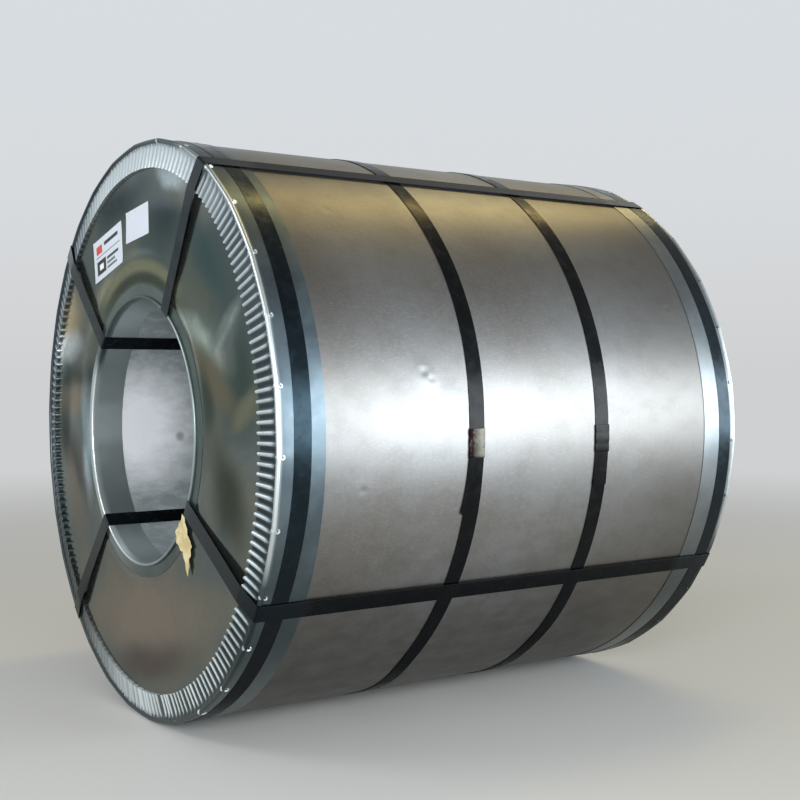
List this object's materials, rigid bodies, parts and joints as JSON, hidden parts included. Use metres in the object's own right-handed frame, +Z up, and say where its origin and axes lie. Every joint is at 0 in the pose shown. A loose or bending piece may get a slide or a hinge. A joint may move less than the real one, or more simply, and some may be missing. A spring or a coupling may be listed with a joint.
{
  "type": "steel coil",
  "caption": "Packed steel strip coil lying on its side, wrapped in galvanised sheet, with crimped edge rings and black steel bands round the girth and through the eye.",
  "frame": {"origin": "on the floor, midway between the coil's ends and straight below its axis", "axes": "+Y along the bore, from the labelled end towards the other end; +Z up; +X to the right as the labelled end is faced"},
  "size_m": [1.1052, 1.061, 1.1052],
  "materials": {
    "strip_steel": "cold-rolled strip, lightly oiled",
    "liner_sheet": "galvanised sheet, mottled",
    "wrap_sheet": "galvanised sheet, streaky and slightly brushed",
    "cover_sheet": "galvanised sheet, smooth and glossy",
    "ring_sheet": "galvanised sheet, bright",
    "band_paint": "glossy black paint on steel band",
    "seal_steel": "zinc-plated, dull",
    "label_paper": "white coated paper",
    "card": "torn kraft card"
  },
  "bodies": {
    "root": {"coil": "strip_steel", "bore_liner": "liner_sheet", "outer_wrap": "wrap_sheet", "end_cover_front": "cover_sheet", "end_cover_back": "cover_sheet", "inner_ring_front": "ring_sheet", "inner_ring_back": "ring_sheet", "outer_ring_front": "ring_sheet", "outer_ring_back": "ring_sheet", "girth_band_1": "band_paint", "girth_band_2": "band_paint", "girth_band_3": "band_paint", "girth_band_4": "band_paint", "girth_seal_1": "seal_steel", "girth_seal_2": "seal_steel", "girth_seal_3": "seal_steel", "girth_seal_4": "seal_steel", "eye_band_1": "band_paint", "eye_band_2": "band_paint", "eye_band_3": "band_paint", "eye_band_4": "band_paint", "eye_seal_1": "seal_steel", "eye_seal_2": "seal_steel", "eye_seal_3": "seal_steel", "eye_seal_4": "seal_steel", "printed_label": "label_paper", "blank_label": "label_paper", "torn_card": "card"}
  },
  "joints": []
}
